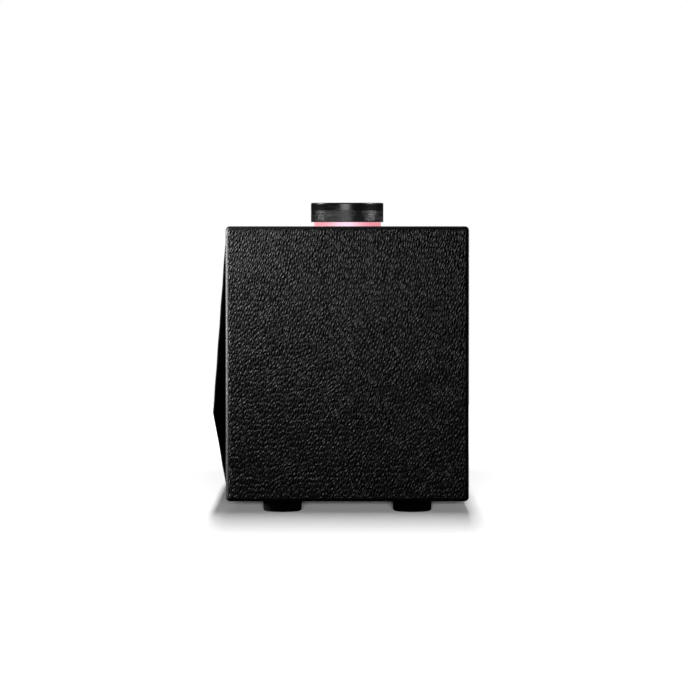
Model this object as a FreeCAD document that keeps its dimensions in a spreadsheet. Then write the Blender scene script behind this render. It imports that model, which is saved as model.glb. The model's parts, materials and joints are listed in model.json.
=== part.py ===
"""Leather-covered portable radio: a parametric assembly, one STEP file for each piece.

Millimetres. +Z is up, the front is at -Y, and the origin is the middle of the footprint at the
level of the feet. Every size comes from the cells of the Dims sheet.
"""
import FreeCAD, Part
import math
import os
import re

import Sketcher

doc = FreeCAD.newDocument("LeatherRadio")
V = FreeCAD.Vector

# ---------------------------------------------------------------- driving dimensions
SIZES = {
    # cabinet
    "cab_width": 262, "cab_depth": 145, "cab_height": 164, "cab_front": -68.5, "edge_round": 2.5,
    "board": 7.5, "leather": 1.2, "turn_in": 10, "cleat": 10,
    # feet
    "foot_height": 7, "foot_radius": 11.7, "foot_inset": 20, "foot_half_spread": 39, "foot_neck": 0.5,
    "foot_recess_radius": 4.6,
    # grille
    "ridge_out": 8, "ridge_up": 52.5, "grille_gap": 0.4, "top_proud": 0.5, "bottom_proud": 0.3,
    "cloth": 0.8, "grille_wall": 2.4, "grille_side": 9, "peg_radius": 2.5, "peg_length": 7.5,
    "peg_reach": 110, "peg_low": 26, "peg_high": 152, "cell_pitch": 24, "cell_size": 19.5,
    # baffle and drivers
    "baffle_front": -56.5, "baffle_thick": 9, "driver_height": 89, "woofer_flange": 52,
    "woofer_body": 45.5, "tweeter_reach": 88, "tweeter_flange": 26, "tweeter_body": 20,
    "coil_radius": 12.6, "pole_radius": 12,
    # rear
    "panel_thick": 4, "panel_recess": 2.5, "gasket": 1, "port_reach": 75, "port_height": 120,
    "port_radius": 16, "port_length": 60, "jack_reach": 62, "jack_height": 36, "jack_bore": 1.8,
    "jack_depth": 14, "usb_reach": 38, "usb_height": 31.4,
    # electronics
    "pcb": 1.6, "board_level": 28, "cell_radius": 9.2, "cell_length": 65, "cell_step": 19.6,
    # knob
    "knob_depth": 4, "knob_radius": 22.9, "knob_base": 173.6, "knob_height": 12.2, "knurl_height": 7,
    "lip_height": 0.6, "ring_radius": 21.3, "ring_inner": 13, "ring_top": 174, "shaft_radius": 3,
    "running_gap": 0.08,
    # buttons
    "button_radius": 5, "button_near": 50, "button_far": 72, "bezel_radius": 8,
    # aerial
    "aerial_reach": -104, "aerial_depth": 50, "aerial_foot": 42, "tube_one": 3.5, "tube_two": 2.75,
    "rod_radius": 2.0, "tube_wall": 0.55,
    # fasteners
    "screw_shank": 1.45, "screw_head": 2.7, "head_height": 1.9,
}

sheet = doc.addObject("Spreadsheet::Sheet", "Dims")
for row, (alias, size) in enumerate(SIZES.items(), 1):
    sheet.set(f"A{row}", alias)
    sheet.set(f"B{row}", str(size))
    sheet.setAlias(f"B{row}", alias)
doc.recompute()

# Places worked out from the sheet, as expressions.
TOP = "(foot_height + cab_height)"
REAR = "(cab_front + cab_depth)"
INNER_X = "(cab_width / 2 - leather - board)"
INNER_LOW = "(foot_height + leather + board)"
INNER_HIGH = "(foot_height + cab_height - leather - board)"
BAFFLE_BACK = "(baffle_front + baffle_thick)"
PANEL_OUT = "(cab_front + cab_depth - panel_recess)"
PANEL_IN = "(cab_front + cab_depth - panel_recess - panel_thick)"
CLEAT_OUT = f"({PANEL_IN} - gasket)"
MAGNET_FRONT = "(baffle_front + 41.5)"
DRIVER_Y = "baffle_front"


# ---------------------------------------------------------------- helpers
def bound(text):
    """A dimension expression with every name turned into its cell on the sheet."""
    return re.sub(r"[A-Za-z_]\w*", r"Dims.\g<0>", str(text))


def value(text):
    """What an expression comes to with the sheet as it stands."""
    return float(sheet.evalExpression(bound(text)))


def place(item, x=0, y=0, z=0):
    """Bind an object's position."""
    for letter, text in zip("xyz", (x, y, z)):
        item.setExpression(f"Placement.Base.{letter}", bound(text))
    return item


def box(name, x, y, z):
    """A block between two places on each axis."""
    item = doc.addObject("Part::Box", name)
    for prop, (low, high) in zip(("Length", "Width", "Height"), (x, y, z)):
        item.setExpression(prop, bound(f"({high}) - ({low})"))
    return place(item, x[0], y[0], z[0])


TURNS = {
    "x": FreeCAD.Rotation(V(0, 1, 0), 90),
    "y": FreeCAD.Rotation(V(1, 0, 0), -90),
    "z": FreeCAD.Rotation(),
}


def rod(name, axis, radius, along, centre):
    """A cylinder along one axis; centre gives its other two coordinates in order."""
    item = doc.addObject("Part::Cylinder", name)
    item.setExpression("Radius", bound(radius))
    item.setExpression("Height", bound(f"({along[1]}) - ({along[0]})"))
    item.Placement.Rotation = TURNS[axis]
    spot = list(centre)
    spot.insert("xyz".index(axis), along[0])
    return place(item, *spot)


def hexagon(name, radius, along, centre, axis="z"):
    """A six-sided bar along an axis."""
    item = doc.addObject("Part::Prism", name)
    item.Polygon = 6
    item.setExpression("Circumradius", bound(radius))
    item.setExpression("Height", bound(f"({along[1]}) - ({along[0]})"))
    item.Placement.Rotation = TURNS[axis]
    spot = list(centre)
    spot.insert("xyz".index(axis), along[0])
    return place(item, *spot)


def joined(kind, label, items):
    item = doc.addObject(kind, label)
    item.Shapes = items
    return item


def fuse(label, items):
    """One solid from several that touch."""
    return joined("Part::MultiFuse", label, items)


def cut(label, base, tools):
    """A piece with every tool taken out of it."""
    item = doc.addObject("Part::Cut", label)
    item.Base = base
    item.Tool = tools[0] if len(tools) == 1 else fuse(f"{label}_tools", tools)
    return item


def group(label, items):
    """Separate solids that share one node."""
    item = doc.addObject("Part::Compound", label)
    item.Links = items
    return item


def rounded(label, base, radius, wanted=lambda edge: True):
    """Fillet the edges that a test picks."""
    doc.recompute()
    item = doc.addObject("Part::Fillet", label)
    item.Base = base
    size = value(radius)
    item.Edges = [(n, size, size) for n, edge in enumerate(base.Shape.Edges, 1) if wanted(edge)]
    return item


def sketch_in(body, role):
    """A sketch on one of a body's own origin planes."""
    sketch = body.newObject("Sketcher::SketchObject", f"{body.Name}_profile")
    plane = next(f for f in body.Origin.OriginFeatures if f.Role == role)
    sketch.AttachmentSupport = [(plane, "")]
    sketch.MapMode = "FlatFace"
    return sketch


def arc_through(start, end, radius, side):
    """The middle point of the shorter arc between two points; side says which way it bulges."""
    chord = end - start
    normal = V(-chord.y, chord.x, 0).normalize()
    rise = math.sqrt(radius**2 - (chord.Length / 2) ** 2)
    return (start + end) * 0.5 + normal * (side * (radius - rise))


def crown(half_width, rise):
    """The radius of a spherical cap from half its width and its rise."""
    return f"(({half_width})^2 + ({rise})^2) / (2 * ({rise}))"


def outline(sketch, corners):
    """A closed profile. A corner is (u, v), or (u, v, radius, side) where an arc arrives at it."""
    spots = [V(value(c[0]), value(c[1]), 0) for c in corners]
    for n, corner in enumerate(corners):
        start, end = spots[n - 1], spots[n]
        if len(corner) == 2:
            sketch.addGeometry(Part.LineSegment(start, end), False)
        else:
            middle = arc_through(start, end, value(corner[2]), corner[3])
            sketch.addGeometry(Part.Arc(start, middle, end), False)

    def which_end(edge, spot):
        return 1 if sketch.getPoint(edge, 1).distanceToPoint(spot) < 1e-6 else 2

    def bind(constraint, text):
        index = sketch.addConstraint(constraint)
        sketch.setExpression(f"Constraints[{index}]", bound(text))

    for n, corner in enumerate(corners):
        following = (n + 1) % len(corners)
        here = which_end(n, spots[n])
        there = which_end(following, spots[n])
        sketch.addConstraint(Sketcher.Constraint("Coincident", n, here, following, there))
        for kind, text, size in zip(("DistanceX", "DistanceY"), corner, (spots[n].x, spots[n].y)):
            bind(Sketcher.Constraint(kind, -1, 1, n, here, size), text)
        if len(corner) > 2:
            bind(Sketcher.Constraint("Radius", n, value(corner[2])), corner[2])


def turned(label, axis, corners, centre):
    """A lathe-turned body. Corners are (radius, place along the axis); the axis is y or z."""
    body = doc.addObject("PartDesign::Body", label)
    sketch = sketch_in(body, {"y": "XY_Plane", "z": "XZ_Plane"}[axis])
    outline(sketch, corners)
    turn = body.newObject("PartDesign::Revolution", f"{label}_turn")
    turn.Profile = sketch
    turn.ReferenceAxis = (sketch, ["V_Axis"])
    turn.Angle = 360
    spot = list(centre)
    spot.insert("xyz".index(axis), 0)
    return place(body, *spot)


def prism(label, corners, reach):
    """A (y, z) profile drawn out equally to both sides of the middle plane."""
    body = doc.addObject("PartDesign::Body", label)
    sketch = sketch_in(body, "YZ_Plane")
    outline(sketch, corners)
    pad = body.newObject("PartDesign::Pad", f"{label}_pad")
    pad.Profile = sketch
    pad.Midplane = True
    pad.setExpression("Length", bound(f"2 * ({reach})"))
    return body


def screw(name, axis, seat, depth, centre, outward):
    """A socket-head screw: its head stands outward (+1 or -1) from the seat, the shank goes in."""
    head = (seat, f"{seat} + head_height") if outward > 0 else (f"{seat} - head_height", seat)
    shank = (f"{seat} - {depth}", seat) if outward > 0 else (seat, f"{seat} + {depth}")
    socket = (f"{seat} + 0.7", f"{seat} + 3") if outward > 0 else (f"{seat} - 3", f"{seat} - 0.7")
    parts = [
        rod(f"{name}_head", axis, "screw_head", head, centre),
        rod(f"{name}_shank", axis, "screw_shank", shank, centre),
    ]
    return cut(name, fuse(f"{name}_blank", parts), [hexagon(f"{name}_socket", 1.45, socket, centre, axis)])


def around(radius, count, start, centre):
    """Points spaced evenly on a circle, as pairs of expressions."""
    steps = [math.radians(start + 360 * n / count) for n in range(count)]
    return [
        (f"{centre[0]} + {radius * math.cos(a):.4f}", f"{centre[1]} + {radius * math.sin(a):.4f}")
        for a in steps
    ]


nodes = []


def node(item):
    """Count an object as one of the assembly's pieces."""
    item.Label = item.Name
    nodes.append(item)
    return item


# ---------------------------------------------------------------- places that repeat
BUTTONS = {
    "button_power": "-button_far",
    "button_source": "-button_near",
    "button_back": "button_near",
    "button_forward": "button_far",
}
FEET = {
    "foot_front_left": (-1, -1),
    "foot_front_right": (1, -1),
    "foot_rear_left": (-1, 1),
    "foot_rear_right": (1, 1),
}


def foot_spot(signs):
    return (f"{signs[0]} * (cab_width / 2 - foot_inset)", f"knob_depth + {signs[1]} * foot_half_spread")


PEGS = [(f"{s} * peg_reach", level) for s in (-1, 0, 1) for level in ("peg_low", "peg_high")]
WOOFER = (0, "driver_height")
WOOFER_SCREWS = around(49, 4, 45, WOOFER)
TWEETERS = {"left": -1, "right": 1}
TWEETER_SCREWS = [
    spot
    for sign in TWEETERS.values()
    for spot in around(23.2, 3, 90, (f"{sign} * tweeter_reach", "driver_height"))
]
CLEAT_LOW = f"({INNER_LOW} + cleat / 2)"
CLEAT_HIGH = f"({INNER_HIGH} - cleat / 2)"
CLEAT_X = f"({INNER_X} - cleat / 2)"
PANEL_SCREWS = [
    (f"{s} * {CLEAT_X}", level) for s in (-1, 1) for level in (CLEAT_LOW, "driver_height", CLEAT_HIGH)
] + [(0, CLEAT_LOW), (0, CLEAT_HIGH)]


# ---------------------------------------------------------------- cabinet
def inset_block(name, inset):
    """The cabinet's outside, taken in by an inset on every face."""
    return box(
        name,
        (f"-cab_width / 2 + {inset}", f"cab_width / 2 - {inset}"),
        (f"cab_front + {inset}", f"{REAR} - {inset}"),
        (f"foot_height + {inset}", f"{TOP} - {inset}"),
    )


def opening_block(name, y, spread=0):
    """The space inside the walls, wider by spread all round."""
    return box(
        name,
        (f"-{INNER_X} - {spread}", f"{INNER_X} + {spread}"),
        y,
        (f"{INNER_LOW} - {spread}", f"{INNER_HIGH} + {spread}"),
    )


def cabinet_holes(prefix):
    """The openings that go through both the board and its leather."""
    whole = (f"{INNER_HIGH} - 1", f"{TOP} + 1")
    holes = [rod(f"{prefix}_well", "z", "ring_radius", whole, (0, "knob_depth"))]
    seat = (f"{TOP} - 2.6", f"{TOP} + 1")
    for name, x in BUTTONS.items():
        spot = (x, "knob_depth")
        holes.append(rod(f"{prefix}_{name}_seat", "z", "bezel_radius", seat, spot))
        holes.append(rod(f"{prefix}_{name}_way", "z", 6.6, (f"{INNER_HIGH} - 1", TOP), spot))
    aerial = ("aerial_reach", "aerial_depth")
    holes.append(rod(f"{prefix}_aerial_seat", "z", 8, (f"{TOP} - 3", f"{TOP} + 1"), aerial))
    holes.append(rod(f"{prefix}_aerial_way", "z", 5.2, (f"{INNER_HIGH} - 1", TOP), aerial))
    for name, signs in FEET.items():
        along = ("foot_height - 1", f"{INNER_LOW} - 1")
        holes.append(rod(f"{prefix}_{name}", "z", "screw_shank", along, foot_spot(signs)))
    return holes


def build_cabinet():
    """The board sleeve and the leather that wraps it, turned in at both open ends."""
    skin = rounded("leather_block", inset_block("leather_size", 0), "edge_round")
    core = rounded("board_block", inset_block("board_size", "leather"), "edge_round - leather")
    through = ("cab_front - 1", f"{REAR} + 1")
    front_rebate = ("cab_front - 1", "cab_front + leather + turn_in")
    rear_rebate = (f"{REAR} - leather - turn_in", f"{REAR} + 1")
    sleeve_tools = [
        opening_block("inside", through),
        opening_block("front_rebate", front_rebate, "leather"),
        opening_block("rear_rebate", rear_rebate, "leather"),
    ]
    sleeve = cut("board_sleeve", core, sleeve_tools)
    node(cut("cabinet_shell", sleeve, cabinet_holes("shell")))
    cover_tools = [sleeve, opening_block("mouth", through)] + cabinet_holes("cover")
    node(cut("leather_wrap", skin, cover_tools))


def ring_batten(label, y, screws=()):
    """A square ring glued round the inside of the sleeve, with a hole for each screw."""
    outer = opening_block(f"{label}_outer", y)
    deep = (f"{y[0]} - 1", f"{y[1]} + 1")
    tools = [opening_block(f"{label}_inner", deep, "-cleat")]
    for n, spot in enumerate(screws):
        tools.append(rod(f"{label}_pilot_{n}", "y", "screw_shank", deep, spot))
    node(cut(label, outer, tools))


def build_battens():
    ring_batten("front_cleat", (BAFFLE_BACK, f"{BAFFLE_BACK} + cleat"))
    ring_batten("rear_cleat", (f"{CLEAT_OUT} - cleat", CLEAT_OUT), PANEL_SCREWS)
    ring_batten("rear_gasket", (CLEAT_OUT, PANEL_IN), PANEL_SCREWS)


def build_baffle():
    """The front board, with its driver holes and the grille's sockets."""
    deep = ("baffle_front - 1", f"{BAFFLE_BACK} + 1")
    tools = [rod("woofer_hole", "y", "woofer_body + 0.3", deep, WOOFER)]
    for side, sign in TWEETERS.items():
        spot = (f"{sign} * tweeter_reach", "driver_height")
        tools.append(rod(f"tweeter_{side}_hole", "y", "tweeter_body + 0.3", deep, spot))
    for n, spot in enumerate(PEGS):
        tools.append(rod(f"peg_hole_{n}", "y", 4.5, deep, spot))
    for n, spot in enumerate(WOOFER_SCREWS + TWEETER_SCREWS):
        tools.append(rod(f"driver_pilot_{n}", "y", "screw_shank", deep, spot))
    node(cut("front_baffle", opening_block("baffle_board", ("baffle_front", BAFFLE_BACK)), tools))
    grommets = [
        turned(
            f"grommet_{n}",
            "y",
            [
                ("peg_radius + 0.05", "baffle_front - 1"), (6.2, "baffle_front - 1"),
                (6.2, "baffle_front"), (4.5, "baffle_front"), (4.5, BAFFLE_BACK), (0, BAFFLE_BACK),
                (0, f"{BAFFLE_BACK} - 0.8"), ("peg_radius + 0.05", f"{BAFFLE_BACK} - 0.8"),
            ],
            spot,
        )
        for n, spot in enumerate(PEGS)
    ]
    node(group("grille_grommets", grommets))


# ---------------------------------------------------------------- grille
def grille_profile(inset, back):
    """The grille's side view: a shallow peak, closest to the cabinet at its two long edges."""
    top = f"{INNER_HIGH} - grille_gap - {inset}"
    low = f"{INNER_LOW} + grille_gap + {inset}"
    return [
        (back, low),
        (f"cab_front - bottom_proud + {inset}", low),
        (f"cab_front - ridge_out + {inset}", "foot_height + ridge_up"),
        (f"cab_front - top_proud + {inset}", top),
        (back, top),
    ]


def build_grille():
    """A moulded frame of square cells under a stretched cloth, held by six pegs."""
    reach = f"{INNER_X} - grille_gap"
    back = "cab_front + grille_side"
    cover = prism("cloth_outside", grille_profile(0, back), reach)
    under = prism("cloth_inside", grille_profile("cloth", f"{back} + 2"), f"{reach} - cloth")
    node(cut("grille_cloth", cover, [under]))

    solid = prism("frame_outside", grille_profile("cloth", f"{back} + 1"), f"{reach} - cloth")
    deep = "cloth + grille_wall"
    hollow = prism("frame_inside", grille_profile(deep, f"{back} + 3"), f"{reach} - {deep}")
    columns = [f"{n} * cell_pitch" for n in range(-4, 5)]
    ridge = "foot_height + ridge_up"
    rows = [f"{ridge} - 16.5"] + [f"{ridge} + 16.5 + {n} * cell_pitch" for n in range(3)]
    cells = [
        box(
            f"cell_{r}_{c}",
            (f"{x} - cell_size / 2", f"{x} + cell_size / 2"),
            ("cab_front - ridge_out - 2", f"{back} - 4"),
            (f"{z} - cell_size / 2", f"{z} + cell_size / 2"),
        )
        for c, x in enumerate(columns)
        for r, z in enumerate(rows)
    ]
    tray = cut("frame_tray", solid, [hollow] + cells)
    start = f"{back} + 1"
    bosses = [rod(f"boss_{n}", "y", 4.2, (f"{start} - 8.4", start), s) for n, s in enumerate(PEGS)]
    pegs = [
        rod(f"peg_{n}", "y", "peg_radius", (f"{start} - 1", f"{start} + peg_length"), s)
        for n, s in enumerate(PEGS)
    ]
    node(fuse("grille_frame", [tray] + bosses + pegs))


# ---------------------------------------------------------------- woofer
def at(offset):
    """A place along the drivers' axis, counted back from the baffle's face."""
    return f"{DRIVER_Y} + {offset}"


def build_woofer():
    basket = turned(
        "basket_turned",
        "y",
        [
            (43.4, at(-2.5)), ("woofer_flange", at(-2.5)), ("woofer_flange", at(0)),
            ("woofer_body", at(0)), ("woofer_body", at(6.5)), (38.5, at(26.5)), (32, at(32.5)),
            (32, at(36.5)), (15, at(36.5)), (15, at(34.3)), (29.8, at(34.3)), (29.8, at(26.5)),
            (36, at(26.5)), (43.4, at(5.9)),
        ],
        WOOFER,
    )
    windows = []
    for n in range(6):
        window = box(f"window_{n}", (20, 60), (at(9.5), at(24.5)), (-13, 13))
        spread = doc.addObject("Part::Compound", f"window_set_{n}")
        spread.Links = [window]
        spread.Placement.Rotation = FreeCAD.Rotation(V(0, 1, 0), 60 * n + 30)
        windows.append(place(spread, 0, 0, "driver_height"))
    holes = [
        rod(f"flange_hole_{n}", "y", 1.8, (at(-4), at(1)), s) for n, s in enumerate(WOOFER_SCREWS)
    ]
    node(cut("woofer_basket", basket, windows + holes))
    node(
        turned(
            "woofer_top_plate",
            "y",
            [(14.2, at(36.5)), (34, at(36.5)), (34, MAGNET_FRONT), (14.2, MAGNET_FRONT)],
            WOOFER,
        )
    )
    magnet_back = f"{MAGNET_FRONT} + 12"
    node(
        turned(
            "woofer_magnet",
            "y",
            [
                (17, MAGNET_FRONT), (35.2, MAGNET_FRONT), (36, f"{MAGNET_FRONT} + 0.8"),
                (36, f"{magnet_back} - 0.8"), (35.2, magnet_back), (17, magnet_back),
            ],
            WOOFER,
        )
    )
    node(
        turned(
            "woofer_pole_yoke",
            "y",
            [
                (0, at(36)), ("pole_radius", at(36)), ("pole_radius", magnet_back), (34, magnet_back),
                (34, f"{magnet_back} + 3.5"), (32.5, f"{magnet_back} + 5"), (0, f"{magnet_back} + 5"),
            ],
            WOOFER,
        )
    )
    node(
        turned(
            "woofer_cone",
            "y",
            [
                (13, at(16.5)), (34.4, at(-1.9)), (37.2, at(-1.9)), (37.2, at(-0.9)), (34.8, at(-0.9)),
                (14.2, at(17.1)), (14.2, at(26)), (13, at(26)),
            ],
            WOOFER,
        )
    )
    node(
        turned(
            "woofer_dust_cap",
            "y",
            [
                (0, at(8.2)), (17, at(12.9), crown(17, 4.7), -1), (16.3, at(13.5)),
                (0, at(8.9), crown(16.3, 4.6), 1),
            ],
            WOOFER,
        )
    )
    node(
        turned(
            "woofer_voice_coil",
            "y",
            [
                ("coil_radius", at(17)), (13, at(17)), (13, at(34)), (13.6, at(34)), (13.6, at(43)),
                ("coil_radius", at(43)),
            ],
            WOOFER,
        )
    )
    node(
        turned(
            "woofer_surround",
            "y",
            [
                (34.8, at(-2.5)), (37, at(-2.5)), (43.4, at(-3.1), 3.6, -1), (46, at(-3.1)),
                (46, at(-2.5)), (43.1, at(-2.5)), (37.5, at(-1.9), 3.0, 1), (34.8, at(-1.9)),
            ],
            WOOFER,
        )
    )
    folds = [(14.2 + 2.2 * n, 25.0 + 0.9 * (n % 2)) for n in range(8)]
    front = [(f"{r:.1f}", at(f"{y:.1f}")) for r, y in folds]
    back = [(f"{r:.1f}", at(f"{y + 0.5:.1f}")) for r, y in reversed(folds)]
    rim = [(35.5, at(25.9)), (35.5, at(26.5)), (30.2, at(26.5))]
    node(turned("woofer_spider", "y", front + rim + back, WOOFER))


# ---------------------------------------------------------------- tweeters
def build_tweeter(side, sign):
    centre = (f"{sign} * tweeter_reach", "driver_height")
    rim = turned(
        f"tweeter_{side}_turned",
        "y",
        [
            (10.6, at(-0.2)), (18.5, at(-2.2)), ("tweeter_flange", at(-2.2)), ("tweeter_flange", at(0)),
            ("tweeter_body", at(0)), ("tweeter_body", at(11)), (17.5, at(11)), (17.5, at(2)),
            (10.6, at(2)),
        ],
        centre,
    )
    holes = [
        rod(f"tweeter_{side}_screw_hole_{n}", "y", 1.8, (at(-4), at(1)), spot)
        for n, spot in enumerate(around(23.2, 3, 90, centre))
    ]
    node(cut(f"tweeter_{side}_frame", rim, holes))
    node(
        turned(
            f"tweeter_{side}_dome",
            "y",
            [
                (0, at(-2.6)), (10.2, at(2), crown(10.2, 4.6), -1), (17.5, at(2)), (17.5, at(2.6)),
                (9.6, at(2.6)), (0, at(-2), crown(9.6, 4.6), 1),
            ],
            centre,
        )
    )
    node(
        turned(
            f"tweeter_{side}_motor",
            "y",
            [
                (0, at(5)), (9, at(5)), (9, at(2.6)), (17.5, at(2.6)), (17.5, at(19.3)), (16.8, at(20)),
                (0, at(20)),
            ],
            centre,
        )
    )


def build_driver_screws():
    screws = [
        screw(f"driver_screw_{n}", "y", at(-2.5 if n < len(WOOFER_SCREWS) else -2.2), 9.4, spot, -1)
        for n, spot in enumerate(WOOFER_SCREWS + TWEETER_SCREWS)
    ]
    node(group("driver_screws", screws))


# ---------------------------------------------------------------- rear panel
def build_rear():
    deep = (f"{PANEL_IN} - 1", f"{PANEL_OUT} + 1")
    panel = box(
        "panel_blank",
        (f"-{INNER_X} + 0.3", f"{INNER_X} - 0.3"),
        (PANEL_IN, PANEL_OUT),
        (f"{INNER_LOW} + 0.3", f"{INNER_HIGH} - 0.3"),
    )
    port = ("-port_reach", "port_height")
    tools = [
        rod("port_hole", "y", "port_radius + 2", deep, port),
        rod("jack_hole", "y", 4.3, deep, ("jack_reach", "jack_height")),
        box(
            "usb_hole",
            ("usb_reach - 4.9", "usb_reach + 4.9"),
            deep,
            ("usb_height - 2.1", "usb_height + 2.1"),
        ),
    ]
    for n, spot in enumerate(PANEL_SCREWS):
        tools.append(rod(f"panel_hole_{n}", "y", 1.8, deep, spot))
        tools.append(rod(f"panel_seat_{n}", "y", 3.2, (f"{PANEL_OUT} - 2", f"{PANEL_OUT} + 1"), spot))
    node(cut("rear_panel", panel, tools))
    seat = f"({PANEL_OUT} - 2)"
    screws = [screw(f"panel_screw_{n}", "y", seat, 10, spot, 1) for n, spot in enumerate(PANEL_SCREWS)]
    node(group("rear_panel_screws", screws))
    node(
        turned(
            "port_tube",
            "y",
            [
                ("port_radius", f"{PANEL_OUT} - port_length"),
                ("port_radius + 2", f"{PANEL_OUT} - port_length"), ("port_radius + 2", PANEL_OUT),
                ("port_radius + 8", PANEL_OUT),
                ("port_radius + 8", f"{PANEL_OUT} + 0.6"), ("port_radius + 5.6", f"{PANEL_OUT} + 1.6"),
                ("port_radius", f"{PANEL_OUT} - 4", 5.8, -1),
            ],
            port,
        )
    )


def build_sockets():
    """The headphone jack and the charging socket on the main board's back edge."""
    spot = ("jack_reach", "jack_height")
    barrel = rod("jack_barrel", "y", 4, (f"{PANEL_IN} - 2", f"{PANEL_OUT} + 0.4"), spot)
    block = box(
        "jack_block",
        ("jack_reach - 6", "jack_reach + 6"),
        (f"{PANEL_IN} - 15", f"{PANEL_IN} - 2"),
        ("board_level + pcb", "jack_height + 5.4"),
    )
    deep = (f"{PANEL_OUT} + 0.4 - jack_depth", f"{PANEL_OUT} + 1")
    bore = rod("jack_bore", "y", "jack_bore", deep, spot)
    node(cut("aux_jack", fuse("jack_blank", [barrel, block]), [bore]))

    def usb_block(name, half_width, y, half_height):
        """A block centred on the charging socket's axis."""
        x = (f"usb_reach - {half_width}", f"usb_reach + {half_width}")
        return box(name, x, y, (f"usb_height - {half_height}", f"usb_height + {half_height}"))

    def lengthwise(edge):
        return abs(edge.tangentAt(edge.FirstParameter).y) > 0.9

    shell = usb_block("usb_shell", 4.5, (f"{PANEL_OUT} - 11.5", f"{PANEL_OUT} - 0.3"), 1.7)
    mouth = usb_block("usb_mouth", 4.2, (f"{PANEL_OUT} - 7.5", PANEL_OUT), 1.35)
    tongue = usb_block("usb_tongue", 3.3, (f"{PANEL_OUT} - 8", f"{PANEL_OUT} - 1.2"), 0.35)
    outside = rounded("usb_outside", shell, 1.5, lengthwise)
    inside = rounded("usb_inside", mouth, 1.2, lengthwise)
    node(fuse("usb_socket", [cut("usb_can", outside, [inside]), tongue]))


# ---------------------------------------------------------------- electronics
BOARD_X = (-32, 100)
BOARD_POSTS = [(x, y) for x in (-27, 96) for y in (6, 52)]
DECK = "(board_level + pcb)"


def build_electronics():
    plate = box("board_blank", BOARD_X, (0, f"{PANEL_IN} - 2"), ("board_level", DECK))
    deep = ("board_level - 1", f"{DECK} + 1")
    holes = [rod(f"post_hole_{n}", "z", 1.5, deep, spot) for n, spot in enumerate(BOARD_POSTS)]
    node(cut("main_board", plate, holes))
    posts = [
        fuse(
            f"standoff_{n}",
            [
                hexagon(f"standoff_{n}_post", 3.2, (INNER_LOW, "board_level"), spot),
                rod(f"standoff_{n}_stud", "z", 1.5, deep, spot),
                hexagon(f"standoff_{n}_nut", 3.1, (DECK, f"{DECK} + 2.4"), spot),
            ],
        )
        for n, spot in enumerate(BOARD_POSTS)
    ]
    node(group("board_standoffs", posts))

    def chip(name, x, y, size):
        """A block soldered to the board: its corner and its length, width and height."""
        return box(name, (x, x + size[0]), (y, y + size[1]), (DECK, f"{DECK} + {size[2]}"))

    blocks = {
        "processor": (-8, 26, (14, 14, 1.4)),
        "tuner_can": (-20, 44, (24, 18, 4.2)),
        "radio_module": (12, 44, (18, 13, 2.6)),
        "speaker_plug": (2, 4, (12, 6, 7)),
        "battery_plug": (-30, 24, (6, 12, 7)),
        "control_plug": (-18, 6, (12, 5, 6)),
        "coil_left": (82, 28, (10, 10, 6.5)),
        "coil_right": (82, 42, (10, 10, 6.5)),
    }
    parts = [chip(name, x, y, size) for name, (x, y, size) in blocks.items()]
    for n in range(3):
        spot = (81.5 - 13 * n, 8)
        parts.append(rod(f"capacitor_{n}", "z", 4.6, (DECK, f"{DECK} + 14"), spot))
    node(group("board_components", parts))
    sink = chip("sink_block", 34, 16, (40, 30, 18))
    slots = [
        box(f"sink_slot_{n}", (38 + 5.2 * n, 41 + 5.2 * n), (15, 47), (f"{DECK} + 4", f"{DECK} + 19"))
        for n in range(7)
    ]
    node(cut("heat_sink", sink, slots))


def build_battery():
    """Three cells side by side, snapped into a moulded cradle."""
    first = 9.4
    level = f"({INNER_LOW} + 2.4 + cell_radius)"
    ends = ("-78 - cell_length / 2", "-78 + cell_length / 2")
    rows = [f"{first} + {n} * cell_step" for n in range(3)]

    def cells(prefix, along):
        return [
            rod(f"{prefix}_{n}", "x", "cell_radius", along, (row, level)) for n, row in enumerate(rows)
        ]

    node(group("battery_cells", cells("cell", ends)))
    tray = box("tray_blank", (-113.5, -42.5), (-2, 58.6), (INNER_LOW, f"{level} - 1"))
    node(cut("battery_tray", tray, cells("tray_groove", ends)))


CABLE_RADIUS = 1.1
CABLES = {
    "woofer_lead": [(8, 7, 37.4), (8, 5, 42), (6, -8, 48), (4, -22, 50.5), (4, -26.5, 52.6)],
    "tweeter_left_lead": [
        (4, 6, 37.4), (2, 4, 44), (-40, 2, 48), (-72, -10, 60), (-88, -24, 76), (-88, -35.5, 84),
    ],
    "tweeter_right_lead": [
        (12, 6, 37.4), (14, 4, 42), (50, -4, 48), (74, -12, 60), (88, -24, 76), (88, -35.5, 84),
    ],
    "control_lead": [
        (-12, 8.5, 36.3), (-12, 10, 42), (-16, 22, 80), (-14, 22, 130), (-8, 12, 143), (-5, 8, 148),
    ],
    "battery_lead": [(-42.2, 30, 24), (-38, 30, 25), (-36, 30, 31), (-34, 30, 35), (-30.5, 30, 35)],
    "button_left_lead": [
        (-8.4, 4, 155), (-14, 4, 153), (-28, 4, 151.4), (-39, 4, 151.6), (-44, 4, 153.6),
    ],
    "button_right_lead": [
        (8.4, 4, 155), (14, 4, 153), (28, 4, 151.4), (39, 4, 151.6), (44, 4, 153.6),
    ],
}


def build_wiring():
    """The leads between the boards, the drivers and the battery, each swept along its run."""
    leads = []
    for name, run in CABLES.items():
        curve = Part.BSplineCurve()
        curve.interpolate([V(*spot) for spot in run])
        start = curve.tangent(curve.FirstParameter)[0]
        loop = Part.Wire(Part.makeCircle(CABLE_RADIUS, V(*run[0]), start))
        lead = doc.addObject("Part::Feature", name)
        lead.Shape = Part.Wire(curve.toShape()).makePipeShell([loop], True, False)
        leads.append(lead)
    node(group("wiring_harness", leads))


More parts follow.
